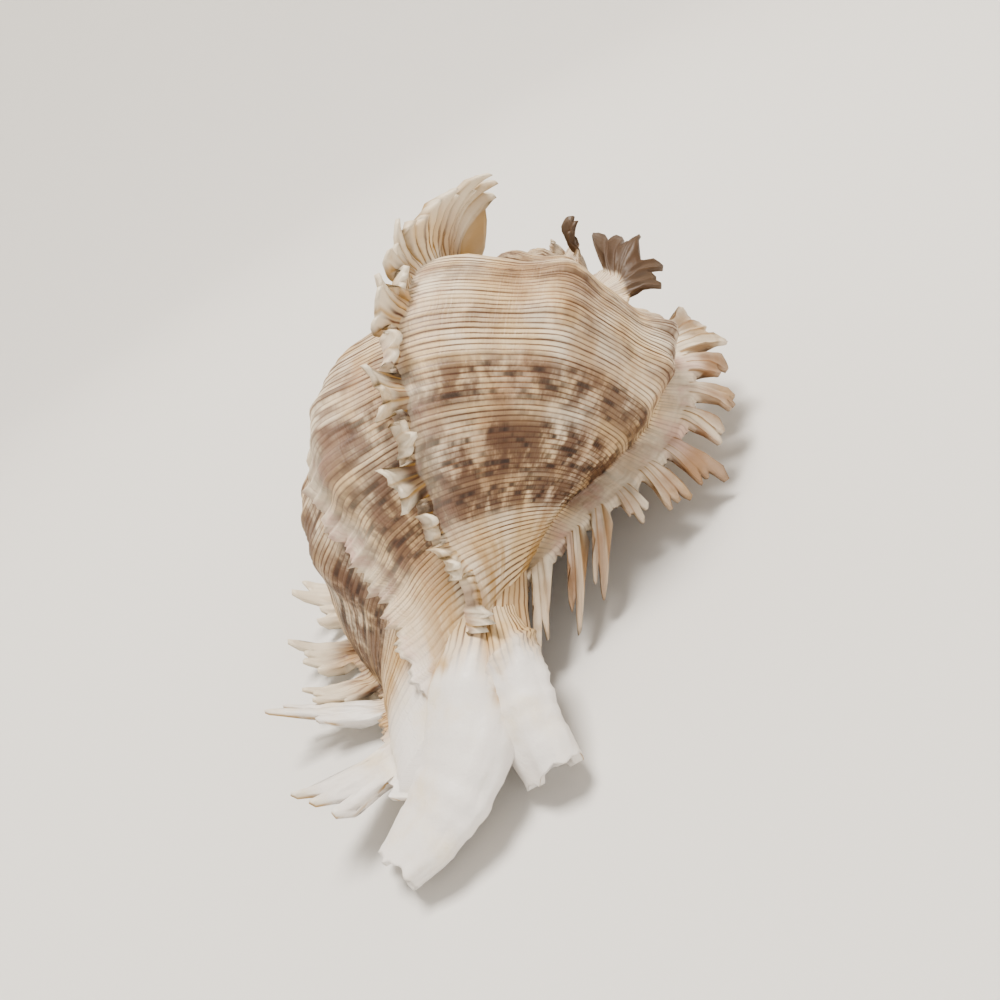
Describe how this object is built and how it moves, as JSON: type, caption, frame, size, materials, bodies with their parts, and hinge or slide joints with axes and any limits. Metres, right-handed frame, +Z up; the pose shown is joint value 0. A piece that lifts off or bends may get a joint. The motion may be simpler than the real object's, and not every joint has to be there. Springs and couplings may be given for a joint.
{
  "type": "murex shell",
  "caption": "Large branched sea snail shell with a short spire, frilled ridges along its whorls, a wide mouth underneath and a long open canal.",
  "frame": {"origin": "middle of the box's underside, on the surface that the shell lies on", "axes": "+Y from the canal towards the spire, along the shell; +Z up"},
  "size_m": [0.131, 0.1874, 0.0977],
  "materials": {
    "shell": "satin ivory shell with brown spiral lines"
  },
  "bodies": {
    "root": {"shell": "shell"}
  },
  "joints": []
}
